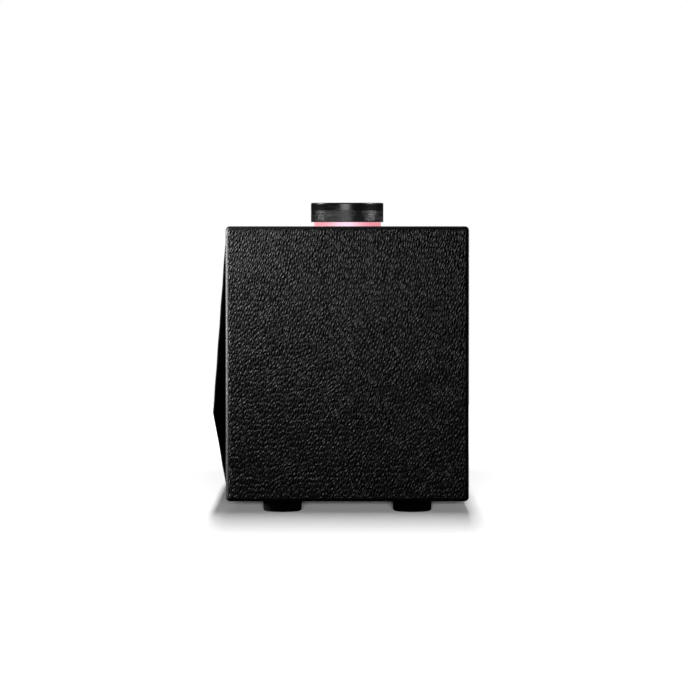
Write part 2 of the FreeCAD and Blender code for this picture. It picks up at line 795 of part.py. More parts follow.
# ---------------------------------------------------------------- knob
def build_knob():
    centre = (0, "knob_depth")
    gap = "running_gap"
    bracket_top = INNER_HIGH
    bracket = f"({INNER_HIGH} - 2)"
    node(
        turned(
            "encoder_bracket",
            "z",
            [(4.5, bracket), (27, bracket), (27, bracket_top), (4.5, bracket_top)],
            centre,
        )
    )
    housing = box(
        "encoder_case",
        (-7.2, 7.2),
        ("knob_depth - 7.2", "knob_depth + 7.2"),
        (f"{bracket} - 10.4", bracket),
    )
    bushing = rod("encoder_bushing", "z", 4.5, (f"{bracket} - 1", f"{TOP} - 4"), centre)
    cavity = rod("encoder_cavity", "z", f"5 + {gap}", (f"{bracket} - 9.2", f"{bracket} - 1.2"), centre)
    way = rod("encoder_way", "z", f"shaft_radius + {gap}", (f"{bracket} - 3", f"{TOP} - 3"), centre)
    node(cut("encoder_body", fuse("encoder_blank", [housing, bushing]), [cavity, way]))
    nut = hexagon("nut_blank", 5.9, (bracket_top, f"{bracket_top} + 2.6"), centre)
    nut_hole = rod("nut_hole", "z", 4.5, (f"{bracket_top} - 1", f"{bracket_top} + 4"), centre)
    node(cut("encoder_nut", nut, [nut_hole]))

    plunger_low = f"({bracket} - 8.2)"
    node(
        turned(
            "encoder_plunger",
            "z",
            [
                (0, plunger_low), (5, plunger_low), (5, f"{bracket} - 2.4"),
                (f"shaft_radius + {gap}", f"{bracket} - 2.4"),
                (f"shaft_radius + {gap}", f"{plunger_low} + 1.2"), (0, f"{plunger_low} + 1.2"),
            ],
            centre,
        )
    )
    shaft_top = "(knob_base + knob_height - 5)"
    stem = rod("shaft_round", "z", "shaft_radius", (f"{plunger_low} + 1.3", shaft_top), centre)
    flat = box(
        "shaft_flat",
        (1.6, 4),
        ("knob_depth - 4", "knob_depth + 4"),
        (f"{TOP} - 1", f"{shaft_top} + 1"),
    )
    shaft = cut("encoder_shaft", stem, [flat])
    node(shaft)

    top = "(knob_base + knob_height)"
    knurl_low = "knob_base + lip_height"
    knurl_high = "knob_base + lip_height + knurl_height"
    shape = turned(
        "knob_turned",
        "z",
        [
            (0, f"{TOP} - 2.4"), (6, f"{TOP} - 2.4"), (6, "knob_base + 1.8"),
            ("ring_radius + 0.6", "knob_base + 1.8"), ("ring_radius + 0.6", "knob_base"),
            ("knob_radius - 0.3", "knob_base"), ("knob_radius", "knob_base + 0.3"),
            ("knob_radius", knurl_low), ("knob_radius - 0.35", f"{knurl_low} + 0.35"),
            ("knob_radius - 0.35", f"{knurl_high} - 0.35"), ("knob_radius", knurl_high),
            ("knob_radius", f"{top} - 0.8"), ("knob_radius - 0.8", top, 0.8, -1),
            ("knob_radius - 2.4", top), ("knob_radius - 3.2", f"{top} - 0.5"),
            (0, f"{top} - 0.5"),
        ],
        centre,
    )
    node(cut("knob_cap", shape, [shaft]))

    floor = f"({INNER_HIGH} + pcb)"
    pcb = turned(
        "led_plate",
        "z",
        [(8, INNER_HIGH), (21, INNER_HIGH), (21, floor), (8, floor)],
        centre,
    )
    leds = [
        box(
            f"led_{n}",
            (f"{x} - 1.2", f"{x} + 1.2"),
            (f"{y} - 1.2", f"{y} + 1.2"),
            (f"{floor} - 0.2", f"{floor} + 1.1"),
        )
        for n, (x, y) in enumerate(around(16.4, 12, 0, centre))
    ]
    node(fuse("led_board", [pcb] + leds))
    node(
        turned(
            "light_ring",
            "z",
            [
                ("ring_radius - 1.6", floor), ("ring_radius", floor), ("ring_radius", "ring_top - 0.5"),
                ("ring_radius - 0.5", "ring_top"), ("ring_inner + 0.5", "ring_top"),
                ("ring_inner", "ring_top - 0.5"), ("ring_inner", f"{TOP} - 1"),
                ("ring_radius - 1.6", f"{TOP} - 1"),
            ],
            centre,
        )
    )


# ---------------------------------------------------------------- buttons
def build_buttons():
    bezels = []
    for name, x in BUTTONS.items():
        centre = (x, "knob_depth")
        ledge = f"({TOP} - 2.6)"
        bezels.append(
            turned(
                f"{name}_bezel",
                "z",
                [
                    ("button_radius + 0.3", ledge), ("bezel_radius", ledge), ("bezel_radius", TOP),
                    ("button_radius + 0.7", TOP), ("button_radius + 0.3", f"{TOP} - 0.4"),
                ],
                centre,
            )
        )
        node(
            turned(
                name,
                "z",
                [
                    (0, f"{INNER_HIGH} - 1.1"), (2.2, f"{INNER_HIGH} - 1.1"), (2.2, f"{ledge} - 2.4"),
                    (6, f"{ledge} - 2.4"), (6, f"{ledge} - 0.1"), ("button_radius", f"{ledge} - 0.1"),
                    ("button_radius", f"{TOP} - 0.4"), ("button_radius - 0.4", TOP),
                    ("button_radius - 1.2", TOP), (0, f"{TOP} - 0.35"),
                ],
                centre,
            )
        )
    node(group("button_bezels", bezels))
    plates = []
    for side, sign in TWEETERS.items():
        low, high = (-82, -40) if sign < 0 else (40, 82)
        level = f"({INNER_HIGH} - 7.7)"
        deck = f"({INNER_HIGH} - 6.1)"
        parts = [
            box(
                f"button_plate_{side}",
                (low, high),
                ("knob_depth - 6", "knob_depth + 6"),
                (level, deck),
            )
        ]
        for name, x in (("near", f"{sign} * button_near"), ("far", f"{sign} * button_far")):
            parts.append(
                box(
                    f"switch_{side}_{name}",
                    (f"{x} - 3", f"{x} + 3"),
                    ("knob_depth - 3", "knob_depth + 3"),
                    (f"{deck} - 0.1", f"{deck} + 3.2"),
                )
            )
            parts.append(
                rod(f"actuator_{side}_{name}", "z", 1.7, (deck, f"{INNER_HIGH} - 2.1"), (x, "knob_depth"))
            )
        for x in (low + 3, high - 3):
            tall = (f"{deck} - 0.1", INNER_HIGH)
            parts.append(rod(f"post_{side}_{x}", "z", 2.2, tall, (x, "knob_depth")))
        plates.append(fuse(f"button_board_{side}", parts))
    node(group("button_boards", plates))


# ---------------------------------------------------------------- feet
def build_feet():
    recess = "(foot_height - 3.4)"
    screws = []
    for name, signs in FEET.items():
        centre = foot_spot(signs)
        node(
            turned(
                name,
                "z",
                [
                    ("foot_recess_radius", 0), ("foot_radius - 1.4", 0),
                    ("foot_radius - 0.2", 1.2, 1.35, -1),
                    ("foot_radius", "foot_height - foot_neck - 0.8"),
                    ("foot_radius - 0.8", "foot_height - foot_neck"),
                    ("foot_radius - 2.4", "foot_height - foot_neck"),
                    ("foot_radius - 2.4", "foot_height"), ("screw_shank", "foot_height"),
                    ("screw_shank", recess), ("foot_recess_radius", recess),
                ],
                centre,
            )
        )
        screws.append(screw(f"{name}_screw", "z", recess, 10.5, centre, -1))
    node(group("foot_screws", screws))


# ---------------------------------------------------------------- aerial
def build_aerial():
    """A three-section telescopic aerial that stows upright behind the top's rear corner."""
    centre = ("aerial_reach", "aerial_depth")
    gap = "running_gap"
    low = "aerial_foot"
    top = f"({TOP} - 5)"
    bore = f"tube_one + {gap}"
    node(
        turned(
            "antenna_guide",
            "z",
            [
                (0, low), (5.2, low), (5.2, f"{TOP} - 3"), (8, f"{TOP} - 3"), (8, TOP), (7.4, TOP),
                (5.4, f"{TOP} - 2.6", 7, 1), (bore, top), (bore, f"{low} + 2"), (0, f"{low} + 2"),
            ],
            centre,
        )
    )
    tubes = {
        "antenna_lower": ("tube_one", "tube_one - tube_wall"),
        "antenna_middle": ("tube_two", "tube_two - tube_wall"),
    }
    foot = f"({low} + 2.4)"
    for step, (name, (outer, inner)) in enumerate(tubes.items()):
        bottom = f"{foot} + {1.4 * step}"
        node(
            turned(
                name,
                "z",
                [
                    (0, bottom), (outer, bottom), (outer, f"{top} - 0.5"),
                    (f"{inner} + 0.2", f"{top} - 0.2"), (inner, f"{top} - 0.5"),
                    (inner, f"{bottom} + 1.2"), (0, f"{bottom} + 1.2"),
                ],
                centre,
            )
        )
    node(
        turned(
            "antenna_tip",
            "z",
            [
                (0, f"{foot} + 3"), ("rod_radius", f"{foot} + 3"), ("rod_radius", top),
                (3.3, top), (3.3, f"{top} + 1.6"), (2.7, f"{top} + 2.2"), (3.3, f"{top} + 2.8"),
                (3.3, f"{TOP} - 0.9"), (2.4, f"{TOP} - 0.1", 1.1, -1), (0, f"{TOP} - 0.1"),
            ],
            centre,
        )
    )


# ---------------------------------------------------------------- assembly
build_cabinet()
build_battens()
build_baffle()
build_grille()
build_woofer()
for tweeter_side, tweeter_sign in TWEETERS.items():
    build_tweeter(tweeter_side, tweeter_sign)
build_driver_screws()
build_rear()
build_sockets()
build_electronics()
build_battery()
build_wiring()
build_knob()
build_buttons()
build_feet()
build_aerial()

doc.recompute()
broken = [f"{item.Name} {item.State}" for item in doc.Objects if {"Invalid", "Error"} & set(item.State)]
assert not broken, f"these did not build: {broken}"
os.makedirs("parts", exist_ok=True)
for piece in nodes:
    shape = piece.Shape
    assert not shape.isNull() and shape.isValid() and shape.Solids, f"{piece.Label} has no sound solid"
    shape.exportStep(f"parts/{piece.Label}.step")
print(len(nodes), "pieces")
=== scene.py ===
import json
import math

import bmesh
import bpy
import numpy as np
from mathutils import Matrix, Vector, noise


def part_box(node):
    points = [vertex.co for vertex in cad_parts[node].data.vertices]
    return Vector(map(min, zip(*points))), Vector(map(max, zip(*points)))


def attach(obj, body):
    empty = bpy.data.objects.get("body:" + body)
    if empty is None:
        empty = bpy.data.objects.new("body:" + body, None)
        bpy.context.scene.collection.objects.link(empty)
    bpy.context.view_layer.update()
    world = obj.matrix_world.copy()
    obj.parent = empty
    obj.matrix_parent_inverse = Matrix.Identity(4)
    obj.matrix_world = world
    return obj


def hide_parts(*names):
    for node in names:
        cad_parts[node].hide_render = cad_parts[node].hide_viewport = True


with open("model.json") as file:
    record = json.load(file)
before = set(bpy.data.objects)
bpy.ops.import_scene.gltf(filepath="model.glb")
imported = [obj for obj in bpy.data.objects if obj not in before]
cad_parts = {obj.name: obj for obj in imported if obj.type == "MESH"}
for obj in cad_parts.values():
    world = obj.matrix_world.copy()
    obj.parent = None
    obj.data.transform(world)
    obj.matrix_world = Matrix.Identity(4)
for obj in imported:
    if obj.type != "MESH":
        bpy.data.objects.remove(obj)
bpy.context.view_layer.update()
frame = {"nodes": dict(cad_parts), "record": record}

MM = 0.001


# ---------------------------------------------------------------- sizes read from the frame
def corners(node):
    """A CAD node's lowest and highest corner, as vectors."""
    low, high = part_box(node)
    return Vector(low), Vector(high)


COVER_LOW, COVER_HIGH = corners("leather_wrap")
SHELL_LOW, SHELL_HIGH = corners("cabinet_shell")
KNOB_LOW, KNOB_HIGH = corners("knob_cap")
RING_LOW, RING_HIGH = corners("light_ring")
BAFFLE_LOW, BAFFLE_HIGH = corners("front_baffle")
CLOTH_LOW, CLOTH_HIGH = corners("grille_cloth")
SHAFT_LOW, SHAFT_HIGH = corners("encoder_shaft")
TOP = COVER_HIGH.z
LEATHER = COVER_HIGH.z - SHELL_HIGH.z
TURN_IN = 10 * MM + LEATHER
EDGE_ROUND = 2.5 * MM
LIP_ROUND = 1.0 * MM
BEZEL_R = 8.0 * MM
HALF_TOP_STEPS = 84
SIDE_STEPS = 100
CORNER_STEPS = 6
SWELL = ((70, 0.03 * MM), (210, 0.008 * MM))
KNOB_X = (KNOB_LOW.x + KNOB_HIGH.x) / 2
KNOB_Y = (KNOB_LOW.y + KNOB_HIGH.y) / 2
KNOB_R = (KNOB_HIGH.x - KNOB_LOW.x) / 2
RING_R = (RING_HIGH.x - RING_LOW.x) / 2
REAR_PARTS = ("rear_panel", "rear_panel_screws", "port_tube", "aux_jack", "usb_socket")
BUTTON_BODIES = {
    "button_power": "power_button",
    "button_source": "source_button",
    "button_back": "back_button",
    "button_forward": "forward_button",
}


def middle_of(node):
    """A CAD node's middle as (x, y)."""
    low, high = corners(node)
    return (low.x + high.x) / 2, (low.y + high.y) / 2


# ---------------------------------------------------------------- shader graphs
class Graph:
    """A Principled material and short calls for wiring procedural nodes into it."""

    def __init__(self, name, **constants):
        self.material = bpy.data.materials.new(name)
        self.material.use_nodes = True
        self.tree = self.material.node_tree
        self.shader = self.tree.nodes["Principled BSDF"]
        for socket, amount in constants.items():
            self.shader.inputs[socket.replace("_", " ")].default_value = amount

    def node(self, kind, inputs=None, **settings):
        """A new node, with each input linked to a socket or set to a value."""
        made = self.tree.nodes.new("ShaderNode" + kind)
        for key, amount in settings.items():
            setattr(made, key, amount)
        for key, amount in (inputs or {}).items():
            if isinstance(amount, bpy.types.NodeSocket):
                self.tree.links.new(amount, made.inputs[key])
            else:
                made.inputs[key].default_value = amount
        return made

    def math(self, operation, *values):
        """One step of arithmetic."""
        return self.node("Math", dict(enumerate(values)), operation=operation).outputs[0]

    def wave(self, value, length):
        """A ripple from 0 to 1 that repeats every length of the value."""
        turns = self.math("SINE", self.math("MULTIPLY", value, math.tau / length))
        return self.math("MULTIPLY_ADD", turns, 0.5, 0.5)

    def axes(self, source):
        """A vector's parts, by name."""
        return self.node("SeparateXYZ", {"Vector": source}).outputs

    def sway(self, where, wavelength, reach):
        """Noise either side of zero, reach from end to end."""
        centred = self.math("SUBTRACT", self.noise(where, wavelength, 2.0), 0.5)
        return self.math("MULTIPLY", centred, reach)

    def vector(self, operation, *values):
        """One step of vector arithmetic."""
        return self.node("VectorMath", dict(enumerate(values)), operation=operation).outputs[0]

    def place(self):
        """The point on the piece, in the row frame, in metres."""
        return self.node("TexCoord").outputs["Object"]

    def flat_mm(self, layer):
        """The point on the sheet that a piece was cut from, in millimetres."""
        spot = self.node("UVMap", uv_map=layer).outputs["UV"]
        return self.vector("MULTIPLY", spot, (1000.0, 1000.0, 0.0))

    def noise(self, where, wavelength, detail=3.0, roughness=0.5):
        """Soft noise from 0 to 1 whose features are about a wavelength across, in where's own unit."""
        inputs = {"Vector": where, "Scale": 1 / wavelength, "Detail": detail, "Roughness": roughness}
        return self.node("TexNoise", inputs).outputs["Fac"]

    def spread(self, value, low, high, to_low, to_high, smooth=False):
        """A value moved from one range to another and clamped there."""
        inputs = {"Value": value, "From Min": low, "From Max": high, "To Min": to_low, "To Max": to_high}
        kind = "SMOOTHSTEP" if smooth else "LINEAR"
        return self.node("MapRange", inputs, interpolation_type=kind).outputs["Result"]

    def mix(self, share, first, second):
        """One colour turning into another."""
        made = self.node("Mix", data_type="RGBA")
        for socket, amount in ((0, share), (6, first), (7, second)):
            if isinstance(amount, bpy.types.NodeSocket):
                self.tree.links.new(amount, made.inputs[socket])
            else:
                made.inputs[socket].default_value = amount
        return made.outputs[2]

    def bump(self, height, depth):
        """A normal from a height of 0 to 1 that stands for a depth in metres."""
        return self.node("Bump", {"Height": height, "Distance": depth, "Strength": 1.0}).outputs["Normal"]

    def set(self, **sockets):
        """The finished material, with its shader's sockets wired up."""
        for socket, source in sockets.items():
            self.tree.links.new(source, self.shader.inputs[socket.replace("_", " ")])
        return self.material


def shade(colour, amount):
    """A colour made lighter or darker, with its alpha."""
    return tuple(min(1.0, part * amount) for part in colour) + (1.0,)


def textured(name, colour, rough, wavelength, depth, vary=0.25):
    """A solid material with fine surface texture, uneven gloss and slight colour drift."""
    g = Graph(name)
    where = g.place()
    fine = g.noise(where, wavelength, 4.0, 0.6)
    broad = g.noise(where, wavelength * 30, 3.0)
    return g.set(
        Base_Color=g.mix(broad, shade(colour, 1 - vary), shade(colour, 1 + vary)),
        Roughness=g.spread(g.math("ADD", fine, broad), 0.4, 1.6, rough * 0.92, min(1.0, rough * 1.08)),
        Normal=g.bump(fine, depth),
    )


def brushed(name, colour, rough, metal, squeeze, depth=0.00001):
    """Metal with fine parallel scratches, drawn out by squeeze on each axis."""
    g = Graph(name, Metallic=metal)
    where = g.vector("MULTIPLY", g.place(), squeeze)
    lines = g.noise(where, 0.0004, 5.0, 0.7)
    blotch = g.noise(g.place(), 0.02, 2.0)
    return g.set(
        Base_Color=g.mix(blotch, shade(colour, 0.85), shade(colour, 1.1)),
        Roughness=g.spread(lines, 0.3, 0.7, rough * 0.75, rough * 1.3),
        Normal=g.bump(lines, depth),
    )


def grain_height(g, across, along):
    """Elongated pebble cells with creases between them, from two coordinates in millimetres."""
    flat = g.node("CombineXYZ", {"X": across, "Y": along}).outputs[0]
    drift = g.sway(flat, 34.0, 5.0)
    wobble = g.sway(flat, 4.5, 0.7)
    warped = g.math("ADD", across, g.math("ADD", drift, wobble))
    risen = g.math("ADD", along, g.sway(flat, 7.0, 1.2))

    def cells(width, length, seed):
        column = g.math("ADD", g.math("DIVIDE", warped, width), seed)
        spot = g.node("CombineXYZ", {"X": column, "Y": g.math("DIVIDE", risen, length)}).outputs[0]
        edge = g.node(
            "TexVoronoi",
            {"Vector": spot, "Scale": 1.0, "Randomness": 1.0},
            voronoi_dimensions="2D",
            feature="DISTANCE_TO_EDGE",
        ).outputs["Distance"]
        return g.spread(edge, 0.0, 0.42, 0.0, 1.0, smooth=True)

    large, small = cells(1.45, 3.2, 0.0), cells(1.0, 2.1, 31.7)
    return g.math("ADD", g.math("MULTIPLY", large, 0.8), g.math("MULTIPLY", small, 0.2)), flat


def leather_material():
    """Black pebble-grain leather: the grain runs round the cabinet and leans a little."""
    g = Graph("leather_black", Specular_IOR_Level=0.5)
    parts = g.axes(g.flat_mm("wrap"))
    around, depth = parts["X"], parts["Y"]
    across = g.math("SUBTRACT", depth, g.math("MULTIPLY", around, 0.12))
    pebbles, flat = grain_height(g, across, around)
    pores = g.noise(flat, 0.45, 3.0, 0.6)
    relief = g.math("ADD", g.math("MULTIPLY", pebbles, 0.92), g.math("MULTIPLY", pores, 0.08))
    edge = g.node("Attribute", attribute_name="edge").outputs["Fac"]
    taut = g.spread(edge, 0.0, 0.35, 1.0, 0.06)
    height = g.math("MULTIPLY_ADD", g.math("SUBTRACT", relief, 0.7), taut, 0.7)
    broad = g.noise(flat, 60.0, 3.0)
    wear = g.math("MULTIPLY", edge, g.noise(flat, 11.0, 2.0))
    # Painted shade: the base colour is darkened in the creases between pebbles, times a broad random
    # tone.
    tone = g.math("MULTIPLY", g.spread(pebbles, 0.1, 0.9, 0.2, 1.0), g.spread(broad, 0.3, 0.7, 0.75, 1.0))
    colour = g.mix(tone, (0.001, 0.001, 0.0012, 1), (0.0055, 0.0055, 0.006, 1))
    worn = g.mix(g.math("MULTIPLY", wear, 0.4), colour, (0.02, 0.02, 0.021, 1))
    gloss = g.math("SUBTRACT", g.spread(pebbles, 0.1, 0.9, 0.6, 0.4), g.math("MULTIPLY", wear, 0.06))
    return g.set(Base_Color=worn, Roughness=gloss, Normal=g.bump(height, 0.00072))


def cloth_material():
    """Open black acoustic weave: two sets of threads crossing, in millimetres on the cut cloth."""
    g = Graph("grille_cloth_black", Specular_IOR_Level=0.05, Sheen_Weight=0.02, Sheen_Roughness=0.4)
    sheet = g.flat_mm("cut")
    wobble = g.sway(sheet, 9.0, 0.25)
    warp, weft = (g.wave(g.math("ADD", g.axes(sheet)[axis], wobble), 0.9) for axis in "XY")
    height = g.math("MAXIMUM", warp, weft)
    # Painted shade: the gaps between threads are coloured near black, standing in for the dark space seen
    # through the open weave; slub adds random tone.
    gap_shade = g.math("MULTIPLY", g.math("SUBTRACT", 1.0, warp), g.math("SUBTRACT", 1.0, weft))
    slub = g.noise(sheet, 14.0, 3.0)
    tone = g.math("MULTIPLY", g.math("SUBTRACT", 1.0, gap_shade), g.spread(slub, 0.3, 0.7, 0.9, 1.0))
    return g.set(
        Base_Color=g.mix(tone, (0.001, 0.001, 0.0012, 1), (0.010, 0.010, 0.011, 1)),
        Roughness=g.spread(height, 0.0, 1.0, 0.95, 0.72),
        Normal=g.bump(height, 0.0002),
    )


def knob_material():
    """Black anodised aluminium: spun rings on the top face, bare satin on the grip's tips."""
    g = Graph("knob_black_anodised", Metallic=1.0)
    parts = g.axes(g.place())
    x = g.math("SUBTRACT", parts["X"], KNOB_X)
    y = g.math("SUBTRACT", parts["Y"], KNOB_Y)
    radius = g.math("SQRT", g.math("ADD", g.math("MULTIPLY", x, x), g.math("MULTIPLY", y, y)))
    spot = g.node("CombineXYZ", {"X": radius, "Y": parts["Z"]}).outputs[0]
    rings = g.noise(spot, 0.00022, 3.0, 0.7)
    dust = g.noise(g.place(), 0.004, 3.0)
    knurl = g.node("Attribute", attribute_name="knurl").outputs["Fac"]
    colour = g.mix(dust, (0.13, 0.13, 0.135, 1), (0.17, 0.17, 0.175, 1))
    tips = g.mix(g.math("MULTIPLY", knurl, 0.8), colour, (0.45, 0.45, 0.455, 1))
    rough = g.math("SUBTRACT", g.spread(rings, 0.3, 0.7, 0.24, 0.3), g.math("MULTIPLY", knurl, 0.03))
    return g.set(Base_Color=tips, Roughness=rough, Normal=g.bump(rings, 0.000004))


def ring_material():
    """The lit diffuser, painted paler and brighter where the ring faces the cabinet's two ends: a painted
    highlight of the diffuser seen face-on.
    """
    g = Graph("light_ring_lit", Roughness=0.5, Specular_IOR_Level=0.2)
    parts = g.axes(g.place())
    y = g.math("SUBTRACT", parts["Y"], KNOB_Y)
    x = g.math("SUBTRACT", parts["X"], KNOB_X)
    # Painted highlight: glow and base colour rise where the ring faces the cabinet's two ends, standing
    # in for the diffuser seen face-on; the glow itself is the ring's own lamp.
    twice_round = g.math("COSINE", g.math("MULTIPLY", g.math("ARCTAN2", y, x), 2.0))
    painted_facing_glow = g.math("POWER", g.math("MULTIPLY_ADD", twice_round, 0.5, 0.5), 5.0)
    cloud = g.spread(g.noise(g.place(), 0.006, 2.0), 0.3, 0.7, 0.95, 1.03)
    return g.set(
        Base_Color=g.mix(painted_facing_glow, (0.2, 0.08, 0.09, 1), (0.25, 0.15, 0.18, 1)),
        Emission_Color=g.mix(painted_facing_glow, (0.90, 0.33, 0.385, 1), (1.0, 0.66, 0.82, 1)),
        Emission_Strength=g.math("MULTIPLY", cloud, g.spread(painted_facing_glow, 0.0, 1.0, 0.95, 1.05)),
    )


def board_material():
    """Circuit board: solder mask over right-angled copper tracks."""
    g = Graph("circuit_board_green", Roughness=0.35)
    spot = g.vector("MULTIPLY", g.place(), (1000.0, 1000.0, 0.0))
    tracks = g.node(
        "TexVoronoi", {"Vector": spot, "Scale": 0.35}, distance="CHEBYCHEV", feature="F1"
    ).outputs["Distance"]
    line = g.math("PINGPONG", tracks, 0.12)
    copper = g.spread(line, 0.04, 0.07, 0.0, 1.0)
    return g.set(
        Base_Color=g.mix(copper, (0.004, 0.05, 0.026, 1), (0.02, 0.16, 0.075, 1)),
        Normal=g.bump(copper, 0.00003),
    )


def wood_material(name, light, dark, stretch):
    """Bare board or batten with fibres drawn out along one axis."""
    g = Graph(name, Specular_IOR_Level=0.2)
    fibres = g.noise(g.vector("MULTIPLY", g.place(), stretch), 0.0012, 6.0, 0.65)
    return g.set(
        Base_Color=g.mix(fibres, shade(dark, 1.0), shade(light, 1.0)),
        Roughness=g.spread(fibres, 0.3, 0.7, 0.75, 0.95),
        Normal=g.bump(fibres, 0.00008),
    )


def winding_material():
    """Enamelled copper turns side by side."""
    g = Graph("voice_coil_copper", Metallic=0.9)
    # Painted shade: the copper is coloured darker in the grooves between turns, where neighbouring wires
    # shade each other.
    turns = g.wave(g.axes(g.place())["Y"], 0.0003)
    return g.set(
        Base_Color=g.mix(turns, (0.28, 0.11, 0.05, 1), (0.72, 0.38, 0.2, 1)),
        Roughness=g.spread(turns, 0.0, 1.0, 0.5, 0.3),
        Normal=g.bump(turns, 0.00008),
    )


def spider_material():
    """Resin-stiffened woven cloth."""
    g = Graph("spider_cloth_amber", Specular_IOR_Level=0.3)
    parts = g.axes(g.place())
    turn = math.tau / 0.0008
    warp, weft = (g.math("SINE", g.math("MULTIPLY", parts[axis], turn)) for axis in "XZ")
    weave = g.math("MULTIPLY_ADD", g.math("MULTIPLY", warp, weft), 0.5, 0.5)
    return g.set(
        Base_Color=g.mix(weave, (0.34, 0.2, 0.06, 1), (0.68, 0.46, 0.19, 1)),
        Roughness=g.spread(weave, 0.0, 1.0, 0.85, 0.6),
        Normal=g.bump(weave, 0.00015),
    )


MATERIALS = {
    "leather": leather_material(),
    "board": wood_material("fibreboard_bare", (0.5, 0.37, 0.25), (0.32, 0.22, 0.14), (1.0, 1.0, 1.0)),
    "batten": wood_material("pine_batten", (0.62, 0.48, 0.31), (0.42, 0.28, 0.16), (0.12, 1.0, 1.0)),
    "gasket_foam": textured("gasket_foam_black", (0.02, 0.02, 0.021), 0.95, 0.0009, 0.00025),
    "grille_cloth": cloth_material(),
    "black_plastic": textured("moulded_black", (0.014, 0.014, 0.0145), 0.48, 0.0007, 0.00006),
    "gloss_black": textured("smooth_black", (0.012, 0.012, 0.0125), 0.4, 0.002, 0.00001),
    "rubber": textured("rubber_black", (0.009, 0.009, 0.0092), 0.72, 0.0008, 0.00007, 0.3),
    "soft_rubber": textured("rubber_roll_black", (0.014, 0.014, 0.0145), 0.55, 0.0015, 0.00003),
    "button_rubber": textured("button_cap_black", (0.014, 0.014, 0.015), 0.62, 0.0006, 0.00003),
    "knob_metal": knob_material(),
    "black_metal": textured("powder_coat_black", (0.012, 0.012, 0.0125), 0.5, 0.0009, 0.00008),
    "black_steel": brushed("blackened_steel", (0.03, 0.03, 0.032), 0.35, 0.9, (1.0, 6.0, 1.0)),
    "plated_steel": brushed("zinc_plate", (0.58, 0.58, 0.56), 0.3, 1.0, (1.0, 1.0, 5.0)),
    "chrome": brushed("chrome_polished", (0.8, 0.8, 0.81), 0.08, 1.0, (6.0, 6.0, 0.2), 0.000002),
    "ferrite": textured("ferrite_grey", (0.035, 0.035, 0.038), 0.6, 0.0012, 0.00005),
    "cone_paper": textured("cone_paper_black", (0.02, 0.02, 0.021), 0.85, 0.0011, 0.0002, 0.35),
    "spider_cloth": spider_material(),
    "silk": textured("dome_silk_black", (0.016, 0.016, 0.017), 0.6, 0.0005, 0.00006),
    "copper": winding_material(),
    "circuit_board": board_material(),
    "component_black": textured("component_case", (0.02, 0.02, 0.021), 0.4, 0.0009, 0.00003),
    "heat_sink": brushed("heat_sink_natural", (0.56, 0.57, 0.58), 0.35, 1.0, (0.3, 4.0, 4.0)),
    "brass": brushed("brass_turned", (0.72, 0.54, 0.26), 0.3, 1.0, (1.0, 1.0, 6.0)),
    "cell_sleeve": textured("cell_sleeve_blue", (0.03, 0.14, 0.36), 0.3, 0.003, 0.00003),
    "cable_sleeve": textured("lead_sleeve_black", (0.02, 0.02, 0.02), 0.5, 0.001, 0.00002),
    "lit_ring": ring_material(),
}
PRINT = textured("pale_print", (0.42, 0.42, 0.43), 0.7, 0.0008, 0.00001, 0.08)


def dress(obj, material):
    """The object's only material."""
    obj.data.materials.clear()
    obj.data.materials.append(material)


for entry in frame["record"]["subparts"]:
    dress(frame["nodes"][entry["node"]], MATERIALS[entry["material_slot"]])


# ---------------------------------------------------------------- mesh helpers
def mesh_object(name, points, faces, material, smooth=True):
    """A new object in the scene, made of one material."""
    mesh = bpy.data.meshes.new(name)
    mesh.from_pydata([tuple(p) for p in points], [], faces)
    mesh.validate()
    made = bpy.data.objects.new(name, mesh)
    bpy.context.scene.collection.objects.link(made)
    made.data.materials.append(material)
    if smooth:
        mesh.polygons.foreach_set("use_smooth", [True] * len(mesh.polygons))
    return made


def outward(obj):
    """Every face's normal turned outwards."""
    work = bmesh.new()
    work.from_mesh(obj.data)
    bmesh.ops.recalc_face_normals(work, faces=work.faces)
    work.to_mesh(obj.data)
    work.free()


def band(first, second, steps):
    """Four-sided faces that join two rings of points, given each ring's first number."""
    pairs = [(n, (n + 1) % steps) for n in range(steps)]
    return [(first + n, first + m, second + m, second + n) for n, m in pairs]


def circle(middle, radius, z, steps):
    """Points evenly round a level circle."""
    turns = [math.tau * n / steps for n in range(steps)]
    return [(middle[0] + radius * math.cos(a), middle[1] + radius * math.sin(a), z) for a in turns]


def lathe(name, profile, centre, steps, material, radius):
    """A closed solid turned round the vertical from (radius, z) pairs that start and end on it.

    radius gives the real radius at a row, its own radius, an angle and a height.
    """
    inner = profile[1:-1]
    points, faces = [], []
    for row, (base, z) in enumerate(inner):
        for n in range(steps):
            a = math.tau * n / steps
            r = radius(row, base, a, z)
            points.append((centre[0] + r * math.cos(a), centre[1] + r * math.sin(a), z))
    for row in range(len(inner) - 1):
        faces += band(row * steps, (row + 1) * steps, steps)
    for end, row in ((profile[0], 0), (profile[-1], len(inner) - 1)):
        tip = len(points)
        points.append((centre[0], centre[1], end[1]))
        faces += [(row * steps + n, row * steps + (n + 1) % steps, tip) for n in range(steps)]
    made = mesh_object(name, points, faces, material)
    outward(made)
    return made


def sharpen(obj, degrees):
    """Edges that bend more than an angle kept crisp."""
    obj.data.set_sharp_from_angle(angle=math.radians(degrees))


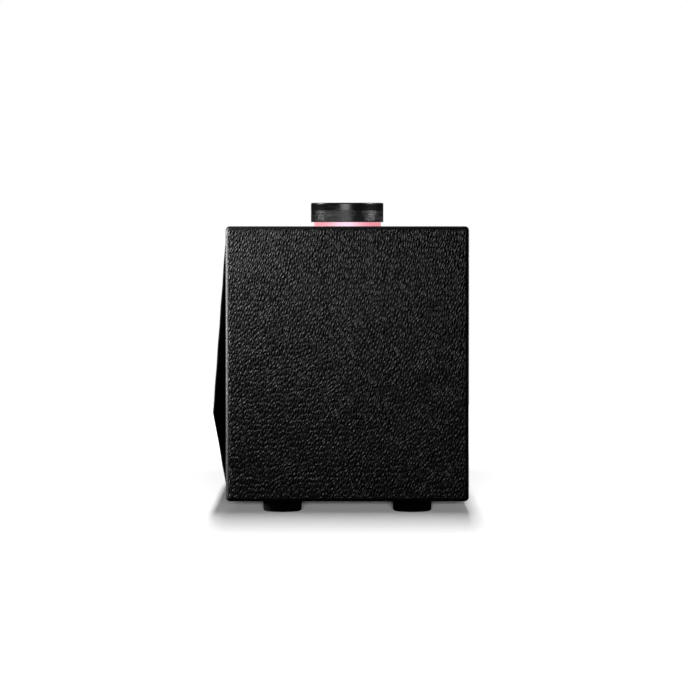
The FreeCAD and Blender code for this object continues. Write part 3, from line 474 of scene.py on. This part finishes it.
def carve(obj, low, high, rods):
    """Vertical holes between two heights: (middle, radius) each."""
    points, faces = [], []
    steps = 96
    for middle, radius in rods:
        first = len(points)
        second = first + steps
        points += circle(middle, radius, low, steps) + circle(middle, radius, high, steps)
        faces += band(first, second, steps)
        faces += [tuple(range(second - 1, first - 1, -1)), tuple(range(second, second + steps))]
    cutter = mesh_object("cutter", points, faces, obj.data.materials[0], smooth=False)
    outward(cutter)
    change = obj.modifiers.new("holes", "BOOLEAN")
    change.operation = "DIFFERENCE"
    change.solver = "MANIFOLD"
    change.object = cutter
    view = bpy.context.evaluated_depsgraph_get()
    view.update()
    result = bpy.data.meshes.new_from_object(obj.evaluated_get(view))
    obj.modifiers.clear()
    obj.data = result
    bpy.data.objects.remove(cutter)


# ---------------------------------------------------------------- leather cover
def arc(centre, radius, start, end, steps):
    """Points on an arc, both ends included, with angles in degrees."""
    return [
        (centre[0] + radius * math.cos(a), centre[1] + radius * math.sin(a))
        for a in (math.radians(start + (end - start) * n / steps) for n in range(steps + 1))
    ]


def run(start, end, steps):
    """Points from start towards end, the end left out."""
    return [
        (start[0] + (end[0] - start[0]) * n / steps, start[1] + (end[1] - start[1]) * n / steps)
        for n in range(steps)
    ]


def cover_profile():
    """The skin's section as (inset from the outside, y): outside face first, then the glued face."""
    front, rear = COVER_LOW.y, COVER_HIGH.y
    wall = COVER_HIGH.x - BAFFLE_HIGH.x
    r, lip = EDGE_ROUND, LIP_ROUND
    out = run((wall, front + TURN_IN), (wall, front + lip), 7)
    out += arc((wall - lip, front + lip), lip, 0, -90, 4)
    out += run((wall - lip, front), (r, front), 4)[1:]
    out += arc((r, front + r), r, -90, -180, 7)
    out += run((0, front + r), (0, rear - r), 96)[1:]
    out += arc((r, rear - r), r, 180, 90, 7)
    out += run((r, rear), (wall - lip, rear), 4)[1:]
    out += arc((wall - lip, rear - lip), lip, 90, 0, 4)
    out += run((wall, rear - lip), (wall, rear - TURN_IN), 7)[1:] + [(wall, rear - TURN_IN)]
    t, q = LEATHER, EDGE_ROUND - LEATHER
    glued = [(wall - t, rear - TURN_IN), (wall - t, rear - t)]
    glued += arc((t + q, rear - t - q), q, 90, 180, 3)
    glued += run((t, rear - t - q), (t, front + t + q), 12)[1:]
    glued += arc((t + q, front + t + q), q, 180, 270, 3)
    glued += [(wall - t, front + t), (wall - t, front + TURN_IN)]
    return out, glued


def section(inset):
    """One loop round the cabinet at an inset, from the middle of the underside towards +X."""
    half_x = (COVER_HIGH.x - COVER_LOW.x) / 2 - inset
    half_z = (COVER_HIGH.z - COVER_LOW.z) / 2 - inset
    middle_z = (COVER_HIGH.z + COVER_LOW.z) / 2
    r = max(EDGE_ROUND - inset, 0.25 * MM)
    x, z = half_x - r, half_z - r

    def corner(centre, start):
        return arc(centre, r, start, start + 90, CORNER_STEPS)[:-1]

    loop = run((0, -half_z), (x, -half_z), HALF_TOP_STEPS) + corner((x, -z), -90)
    loop += run((half_x, -z), (half_x, z), SIDE_STEPS) + corner((x, z), 0)
    loop += run((x, half_z), (-x, half_z), 2 * HALF_TOP_STEPS) + corner((-x, z), 90)
    loop += run((-half_x, z), (-half_x, -z), SIDE_STEPS) + corner((-x, -z), 180)
    loop += run((-x, -half_z), (0, -half_z), HALF_TOP_STEPS)
    return [(px, pz + middle_z) for px, pz in loop]


def distances(path):
    """How far along a path each of its points is."""
    along = [0.0]
    for a, b in zip(path, path[1:]):
        along.append(along[-1] + math.dist(a, b))
    return along


def cover_mesh():
    """The skin before it is cut, and how many of its points are on the outside."""
    outside, glued = cover_profile()
    profile = outside + glued
    loops = [section(inset) for inset, _ in profile]
    around = len(loops[0])
    outer = section(0.0)
    lengths = distances(outer + outer[:1])
    depths = distances(profile)
    depths.append(depths[-1] + 2 * MM)
    points = [(x, y, z) for (_, y), loop in zip(profile, loops) for x, z in loop]
    faces, uvs = [], []
    for row in range(len(profile)):
        near, far = depths[row], depths[row + 1]
        faces += band(row * around, (row + 1) % len(profile) * around, around)
        for start, end in zip(lengths, lengths[1:]):
            uvs += [(start, near), (end, near), (end, far), (start, far)]
    cover = mesh_object("leather_cover", points, faces, MATERIALS["leather"])
    layer = cover.data.uv_layers.new(name="wrap")
    layer.data.foreach_set("uv", [part for uv in uvs for part in uv])
    outward(cover)
    return cover, len(outside) * around


def build_cover():
    """Leather wrapped round the sleeve and turned in at both open ends, with its own slight swell."""
    cover, outside_points = cover_mesh()
    swell(cover, outside_points)
    guide_low, guide_high = corners("antenna_guide")
    holes = [((KNOB_X, KNOB_Y), RING_R)]
    holes += [(middle_of(name), BEZEL_R) for name in BUTTON_BODIES]
    holes.append((middle_of("antenna_guide"), (guide_high.x - guide_low.x) / 2))
    carve(cover, SHELL_HIGH.z - MM, TOP + MM, holes)
    sharpen(cover, 50)
    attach(cover, "cabinet")
    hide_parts("leather_wrap")
    return cover


def swell(cover, outside_points):
    """Broad unevenness of hide glued over board, and how near each point is to an edge.

    SWELL holds each ripple's fineness per metre and its height.
    """
    mesh = cover.data
    directions = [vertex.normal.copy() for vertex in mesh.vertices]
    moved, edge = [], []
    for n, (vertex, direction) in enumerate(zip(mesh.vertices, directions)):
        p = vertex.co.copy()
        gaps = sorted(
            (
                min(p.x - COVER_LOW.x, COVER_HIGH.x - p.x),
                min(p.y - COVER_LOW.y, COVER_HIGH.y - p.y),
                min(p.z - COVER_LOW.z, COVER_HIGH.z - p.z),
            )
        )
        edge.append(max(0.0, 1 - gaps[1] / EDGE_ROUND))
        lift = sum(noise.noise(p * fineness) * height for fineness, height in SWELL)
        moved.extend(p + direction * lift if n < outside_points else p)
    mesh.vertices.foreach_set("co", moved)
    mesh.attributes.new("edge", "FLOAT", "POINT").data.foreach_set("value", edge)
    mesh.update()


# ---------------------------------------------------------------- knob
KNOB_BASE = KNOB_HIGH.z - 12.2 * MM
GRIP_LOW = KNOB_BASE + 0.6 * MM
GRIP_HIGH = KNOB_BASE + 7.6 * MM
GRIP_NECK = 0.06 * MM
GRIP_MARGIN = 0.25 * MM
SHAFT_R = 3.0 * MM
BOSS_R = 6.0 * MM
SKIRT_R = RING_R + 0.6 * MM
SKIRT_DEEP = 1.8 * MM
SKIRT_EDGE = 0.1 * MM
FOOT_ROUND = 0.25 * MM
RIM_ROUND = 0.8 * MM
DISH_DEEP = 0.5 * MM
KNURLS = 120
KNURL_ROWS = 52
KNURL_DEPTH = 0.12 * MM
KNURL_TALL = math.tau * KNOB_R / KNURLS * 0.67
KNURL_BLUNT = 1.3


def knob_underside():
    """From the axis round the shaft's bore and the hollow over the ring to the foot of the grip."""
    ceiling = KNOB_BASE + SKIRT_DEEP
    bend = 0.07 * MM
    return [
        (0, SHAFT_HIGH.z),
        (SHAFT_R, SHAFT_HIGH.z),
        (SHAFT_R, KNOB_LOW.z),
        (BOSS_R, KNOB_LOW.z),
        (BOSS_R, ceiling),
        (SKIRT_R, ceiling),
        (SKIRT_R, KNOB_BASE + SKIRT_EDGE),
        (SKIRT_R + SKIRT_EDGE, KNOB_BASE),
        (KNOB_R - FOOT_ROUND, KNOB_BASE),
        (KNOB_R - bend, KNOB_BASE + bend),
        (KNOB_R, KNOB_BASE + FOOT_ROUND),
        (KNOB_R, GRIP_LOW - 0.08 * MM),
        (KNOB_R - GRIP_NECK, GRIP_LOW),
    ]


def knob_grip():
    """The rows of points that carry the knurls."""
    tall = GRIP_HIGH - GRIP_LOW - 2 * GRIP_MARGIN
    return [(KNOB_R, GRIP_LOW + GRIP_MARGIN + tall * n / KNURL_ROWS) for n in range(KNURL_ROWS + 1)]


def knob_crown():
    """Smooth band, rounded rim and shallow dished top, in to the axis."""
    top = KNOB_HIGH.z
    dish = top - DISH_DEEP
    points = [
        (KNOB_R - GRIP_NECK, GRIP_HIGH),
        (KNOB_R, GRIP_HIGH + 0.08 * MM),
        (KNOB_R, GRIP_HIGH + 1.2 * MM),
        (KNOB_R, top - RIM_ROUND - 0.4 * MM),
    ]
    points += arc((KNOB_R - RIM_ROUND, top - RIM_ROUND), RIM_ROUND, 0, 90, 7)
    points += [
        (KNOB_R - 2.2 * MM, top),
        (KNOB_R - 2.5 * MM, top - 0.06 * MM),
        (KNOB_R - 2.9 * MM, top - 0.42 * MM),
        (KNOB_R - 3.3 * MM, dish),
    ]
    return points + [(KNOB_R * share, dish) for share in (0.6, 0.3, 0.08, 0.0)]


def knurl_height(angle, z):
    """How far a knurl's face stands at a place, from 0 in the grooves to 1 on the tips."""
    turns = angle / math.tau * KNURLS
    rise = (z - GRIP_LOW) / KNURL_TALL
    return 1 - 2 * max(abs((turns + rise) % 1 - 0.5), abs((turns - rise) % 1 - 0.5))


def knurl_amount(point):
    """The same height for a finished point, and 0 anywhere off the grip."""
    x, y, z = point.x - KNOB_X, point.y - KNOB_Y, point.z
    on_grip = GRIP_LOW < z < GRIP_HIGH and math.hypot(x, y) > KNOB_R - 0.5 * MM
    return max(0.0, knurl_height(math.atan2(y, x) % math.tau, z)) if on_grip else 0.0


def build_knob():
    """The dial: smooth band over a diamond-knurled grip, with a lip that hides the ring's top."""
    below, grip = knob_underside(), knob_grip()
    first = len(below) - 1

    def radius(row, own_radius, angle, z):
        if not first <= row < first + len(grip):
            return own_radius
        return own_radius - KNURL_DEPTH * (1 - min(1.0, knurl_height(angle, z) * KNURL_BLUNT))

    profile = below + grip + knob_crown()
    knob = lathe("knob_dial", profile, (KNOB_X, KNOB_Y), KNURLS * 6, MATERIALS["knob_metal"], radius)
    tips = knob.data.attributes.new("knurl", "FLOAT", "POINT")
    tips.data.foreach_set("value", [knurl_amount(vertex.co) for vertex in knob.data.vertices])
    sharpen(knob, 28)
    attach(knob, "knob")
    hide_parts("knob_cap")
    return knob


# ---------------------------------------------------------------- grille cloth
RIDGE_Z = COVER_LOW.z + 52.5 * MM
RIDGE_Y = CLOTH_LOW.y
TOP_Y = COVER_LOW.y - 0.5 * MM
BOTTOM_Y = COVER_LOW.y - 0.3 * MM
FLAP = CLOTH_HIGH.y - COVER_LOW.y
FOLD_ROUND = 1.3 * MM
CLOTH_THICK = 0.6 * MM
SAG = 0.22 * MM
FRAME_CELL = 24 * MM
BAR_SHARE = 4.5 / 24
RIDGE_SHARE = 0.2
EDGE_LINES_MM = (0.0, 0.15, 0.4, 0.8, 1.3)
FOLD_ROWS = (0.0, 0.33, 0.66, 1.0)


def face_y(z):
    """The cloth's outside face at a height: two flat slopes that meet on the ridge."""
    if z > RIDGE_Z:
        return RIDGE_Y + (TOP_Y - RIDGE_Y) * ((z - RIDGE_Z) / (CLOTH_HIGH.z - RIDGE_Z))
    return RIDGE_Y + (BOTTOM_Y - RIDGE_Y) * ((RIDGE_Z - z) / (RIDGE_Z - CLOTH_LOW.z))


def sag(x, z):
    """The cloth dips a little between the frame's bars."""
    across = abs(((x / FRAME_CELL + 0.5) % 1) - 0.5) * 2
    rows_up = (z - RIDGE_Z) / FRAME_CELL
    up = abs(((rows_up - BAR_SHARE) % 1) - 0.5) * 2 if abs(rows_up) > RIDGE_SHARE else 0.0
    return SAG * (max(0.0, 1 - across * (1 + BAR_SHARE)) * max(0.0, up))


def cloth_point(x, z, back):
    """A point of the face, or of the flap that far behind the fold."""
    low, high = CLOTH_LOW, CLOTH_HIGH
    y = face_y(z)
    if back > 0:
        return (x, min(y + FOLD_ROUND + back, high.y), z)
    depth = min(x - low.x, high.x - x, z - low.z, high.z - z)
    inside = max(0.0, FOLD_ROUND - depth)
    return (x, y + FOLD_ROUND - math.sqrt(max(0.0, FOLD_ROUND**2 - inside**2)) + sag(x, z), z)


def cloth_lines(start, end, count):
    """Where the cloth's mesh lines cross one way, close together at both folds."""
    middle = np.linspace(start + 2.0 * MM, end - 2.0 * MM, count)
    near = [start + e * MM for e in EDGE_LINES_MM]
    return near + list(middle) + [end - e * MM for e in reversed(EDGE_LINES_MM)]


class ClothMesh:
    """Points shared between faces, faces, and each face corner's place on the cut cloth."""

    def __init__(self):
        self.xs = cloth_lines(CLOTH_LOW.x, CLOTH_HIGH.x, 110)
        ridge = [RIDGE_Z, RIDGE_Z - 0.5 * MM, RIDGE_Z + 0.5 * MM]
        self.zs = sorted(cloth_lines(CLOTH_LOW.z, CLOTH_HIGH.z, 66) + ridge)
        self.backs = [FLAP * share for share in FOLD_ROWS]
        self.points, self.faces, self.cut = [], [], []
        self.known = {}

    def vertex(self, i, j, k=0):
        if (i, j, k) not in self.known:
            self.known[i, j, k] = len(self.points)
            self.points.append(cloth_point(self.xs[i], self.zs[j], self.backs[k]))
        return self.known[i, j, k]

    def quad(self, keys, uvs):
        self.faces.append(tuple(self.vertex(*key) for key in keys))
        self.cut.extend(uvs)

    def face(self):
        """The whole front."""
        xs, zs = self.xs, self.zs
        for i in range(len(xs) - 1):
            for j in range(len(zs) - 1):
                keys = [(i, j), (i + 1, j), (i + 1, j + 1), (i, j + 1)]
                self.quad(keys, [(xs[a], zs[b]) for a, b in keys])

    def fold(self, k):
        """One row of faces further back on all four flaps."""
        xs, zs = self.xs, self.zs
        near, far = self.backs[k], self.backs[k + 1]
        for j, sign in ((0, -1), (len(zs) - 1, 1)):
            a, b = zs[j] + sign * near, zs[j] + sign * far
            for i in range(len(xs) - 1):
                self.quad(
                    [(i, j, k), (i + 1, j, k), (i + 1, j, k + 1), (i, j, k + 1)],
                    [(xs[i], a), (xs[i + 1], a), (xs[i + 1], b), (xs[i], b)],
                )
        for i, sign in ((0, -1), (len(xs) - 1, 1)):
            a, b = xs[i] + sign * near, xs[i] + sign * far
            for j in range(len(zs) - 1):
                self.quad(
                    [(i, j, k), (i, j + 1, k), (i, j + 1, k + 1), (i, j, k + 1)],
                    [(a, zs[j]), (a, zs[j + 1]), (b, zs[j + 1]), (b, zs[j])],
                )


def build_cloth():
    """Cloth stretched over the peaked frame and folded back round all four sides."""
    mesh = ClothMesh()
    mesh.face()
    for k in range(len(FOLD_ROWS) - 1):
        mesh.fold(k)
    cloth = mesh_object("grille_cloth_stretched", mesh.points, mesh.faces, MATERIALS["grille_cloth"])
    layer = cloth.data.uv_layers.new(name="cut")
    layer.data.foreach_set("uv", [part for uv in mesh.cut for part in uv])
    outward(cloth)
    thick = cloth.modifiers.new("thickness", "SOLIDIFY")
    thick.thickness = CLOTH_THICK
    thick.offset = -1.0
    sharpen(cloth, 60)
    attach(cloth, "grille")
    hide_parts("grille_cloth")
    return cloth


# ---------------------------------------------------------------- icons
CAP_DISH = 0.35 * MM
CAP_DISH_R = 3.8 * MM
INLAY_RISE = 0.02 * MM
INLAY_THICK = 0.06 * MM
LINE_MM = 0.34


def ribbon(path, width):
    """A flat strip along a path of (x, y) points, as points and faces."""
    points = []
    for n, p in enumerate(path):
        a = Vector(path[max(0, n - 1)])
        b = Vector(path[min(len(path) - 1, n + 1)])
        side = (b - a).orthogonal().normalized() * (width / 2)
        points += [(p[0] + side.x, p[1] + side.y), (p[0] - side.x, p[1] - side.y)]
    return points, [(2 * n, 2 * n + 1, 2 * n + 3, 2 * n + 2) for n in range(len(path) - 1)]


def filled(outline):
    """A flat shape inside an outline of (x, y) points, as points and faces."""
    return list(outline), [tuple(range(len(outline)))]


def triangle(x, size, way):
    """A filled triangle centred on x that points along way, 1 or -1."""
    back, tip, half = x - way * size / 2, x + way * size / 2, size * 0.62
    return filled([(back, -half), (tip, 0), (back, half)])


def on_cap(middle, x, y):
    """A point in millimetres from a button's middle, laid on its dished top."""
    share = min(1.0, math.hypot(x, y) * MM / CAP_DISH_R)
    return (middle[0] + x * MM, middle[1] + y * MM, TOP - CAP_DISH + CAP_DISH * share + INLAY_RISE)


def icon(name, shapes, middle, body):
    """Thin pale inlay made from flat shapes on a button's top."""
    points, faces = [], []
    for spots, quads in shapes:
        first = len(points)
        points += [on_cap(middle, x, y) for x, y in spots]
        faces += [tuple(first + n for n in quad) for quad in quads]
    made = mesh_object(name, points, faces, PRINT, smooth=False)
    outward(made)
    raised = made.modifiers.new("thickness", "SOLIDIFY")
    raised.thickness = INLAY_THICK
    raised.offset = 0.0
    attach(made, body)
    return made


def icon_shapes():
    """Power, source, back and forward signs, in millimetres from each button's middle."""
    line = LINE_MM
    power = [ribbon([(0, 0.4), (0, 2.3)], line), ribbon(arc((0, 0), 1.7, 120, 420, 24), line)]
    source = [
        ribbon([(-2.0, 0.8), (1.5, 0.8)], line),
        filled([(1.3, 0.2), (2.3, 0.8), (1.3, 1.4)]),
        ribbon([(2.0, -0.8), (-1.5, -0.8)], line),
        filled([(-1.3, -1.4), (-2.3, -0.8), (-1.3, -0.2)]),
    ]
    back = [triangle(1.0, 1.7, -1), triangle(-0.6, 1.7, -1), ribbon([(-1.75, -1.1), (-1.75, 1.1)], line)]
    forward = [triangle(-1.0, 1.7, 1), triangle(0.6, 1.7, 1), ribbon([(1.75, -1.1), (1.75, 1.1)], line)]
    return dict(zip(BUTTON_BODIES, (power, source, back, forward)))


def build_icons():
    for name, shapes in icon_shapes().items():
        icon(f"icon_{name}", shapes, middle_of(name), BUTTON_BODIES[name])


# ---------------------------------------------------------------- studio
def softbox(name, spot, aim, size, power, only=(), never=()):
    """A rectangular light out of the camera's sight, kept to some objects or kept off some."""
    lamp = bpy.data.lights.new(name, "AREA")
    lamp.shape = "RECTANGLE"
    lamp.size, lamp.size_y = size
    lamp.energy = power
    made = bpy.data.objects.new(name, lamp)
    made.location = spot
    made.rotation_euler = (Vector(aim) - Vector(spot)).to_track_quat("-Z", "Y").to_euler()
    made.visible_camera = False
    bpy.context.scene.collection.objects.link(made)
    linked = bpy.data.collections.new(name + "_linked")
    for obj in (*only, *never):
        linked.objects.link(obj)
    for entry in linked.collection_objects:
        entry.light_linking.link_state = "INCLUDE" if only else "EXCLUDE"
    made.light_linking.receiver_collection = linked


def build_world():
    """White behind the object and a faint even light round it."""
    world = bpy.data.worlds.new("studio")
    bpy.context.scene.world = world
    world.use_nodes = True
    tree = world.node_tree
    seen = tree.nodes.new("ShaderNodeLightPath")
    level = tree.nodes.new("ShaderNodeMapRange")
    level.inputs["To Min"].default_value = 0.015
    level.inputs["To Max"].default_value = 1.0
    background = tree.nodes["Background"]
    tree.links.new(seen.outputs["Is Camera Ray"], level.inputs["Value"])
    tree.links.new(level.outputs["Result"], background.inputs["Strength"])
    background.inputs["Color"].default_value = (1, 1, 1, 1)


def build_floor():
    """A disc of white paper that brightens into the white behind it."""
    paper = Graph("studio_paper", Specular_IOR_Level=0.0, Roughness=1.0, Emission_Color=(1, 1, 1, 1))
    tone = paper.noise(paper.place(), 0.8, 2.0)
    reach = paper.node("VectorMath", {0: paper.place()}, operation="LENGTH").outputs["Value"]
    white = paper.set(
        Base_Color=paper.mix(tone, (0.90, 0.90, 0.90, 1), (0.92, 0.92, 0.92, 1)),
        Emission_Strength=paper.spread(reach, 0.2, 0.6, 0.0, 1.0, smooth=True),
    )
    rim = circle((0, 0), 1.1, 0, 96)
    floor = mesh_object("floor", rim, [tuple(range(len(rim)))], white, smooth=False)
    floor.visible_glossy = False
    floor.visible_diffuse = False
    return floor


def light_floor(floor):
    """Even white paper, with one soft shadow that falls towards the camera."""
    softbox("floor_above", (-3.9, -0.02, 6.5), (-3.9, -0.02, 0), (8.25, 0.5), 610, only=[floor])
    softbox("floor_near", (1.2, 0, 0.8), (1.2, 0, 0), (1.4, 1.0), 2.8, only=[floor])
    softbox("floor_grazing", (6, 0, 0.55), (0, 0, 0), (1.0, 0.3), 830, only=[floor])


def light_dial(dial):
    """Two lights high at the sides, one low in front and one behind, on the dial alone."""
    aim = (KNOB_X, KNOB_Y, KNOB_HIGH.z)
    softbox("dial_left", (-0.17, -0.9, 0.62), aim, (0.35, 0.3), 4.2, only=[dial])
    softbox("dial_right", (0.1, 0.9, 0.62), aim, (0.35, 0.3), 3.4, only=[dial])
    softbox("dial_front", (2.0, -0.2, 0.26), aim, (0.9, 0.3), 2.4, only=[dial])
    softbox("dial_top", (-0.8, 0, 1.6), aim, (0.3, 0.3), 2.0, only=[dial])


def light_cabinet(cover, cloth, others):
    """A close light from the front's side that grazes the leather, and faint fill all round."""
    side = COVER_HIGH.x
    middle = (0, 0, 0.09)
    nodes = frame["nodes"]
    dark = [*others, cloth, nodes["button_bezels"]]
    rear = [nodes[name] for name in REAR_PARTS]
    softbox("key", (0.19, -0.18, 0.215), (side, -0.03, 0.12), (0.09, 0.1), 0.49, never=dark)
    softbox("edge", (0.12, -0.28, 0.13), (side, COVER_LOW.y, 0.09), (0.02, 0.16), 1.1, never=dark)
    softbox("overhead", (-0.4, 0, 1.3), (-0.4, 0, 0), (0.8, 0.8), 1.0, never=others)
    softbox("fill_far", (-1.4, -0.4, 0.35), middle, (0.8, 0.5), 9, never=others)
    softbox("fill_front", (-0.5, -1.3, 0.35), middle, (0.8, 0.5), 4, never=others)
    softbox("fill_rear", (-1.0, 1.0, 0.35), middle, (0.8, 0.5), 9, only=[cover])
    softbox("rear_parts", (-0.6, 1.2, 0.6), middle, (0.8, 0.5), 45, only=rear)
    softbox("grille_front", (-0.3, -1.2, 0.5), middle, (0.5, 0.5), 38, only=[cloth])


def build_camera():
    """Long lens level with the top of the cabinet, looking at its right-hand side."""
    camera = bpy.data.cameras.new("camera")
    camera.lens = 176.0
    camera.sensor_width = 36.0
    made = bpy.data.objects.new("camera", camera)
    distance, drop = 2.0, 70 * MM
    made.location = (COVER_HIGH.x + distance, KNOB_Y - 2 * MM, TOP)
    made.rotation_euler = (math.radians(90) - math.atan2(drop, distance), 0, math.radians(90))
    bpy.context.scene.collection.objects.link(made)
    bpy.context.scene.camera = made


bpy.context.scene.view_settings.view_transform = "Standard"
leather = build_cover()
dial = build_knob()
grille = build_cloth()
build_icons()
build_world()
floor = build_floor()
light_floor(floor)
light_dial(dial)
light_cabinet(leather, grille, [floor, dial])
build_camera()
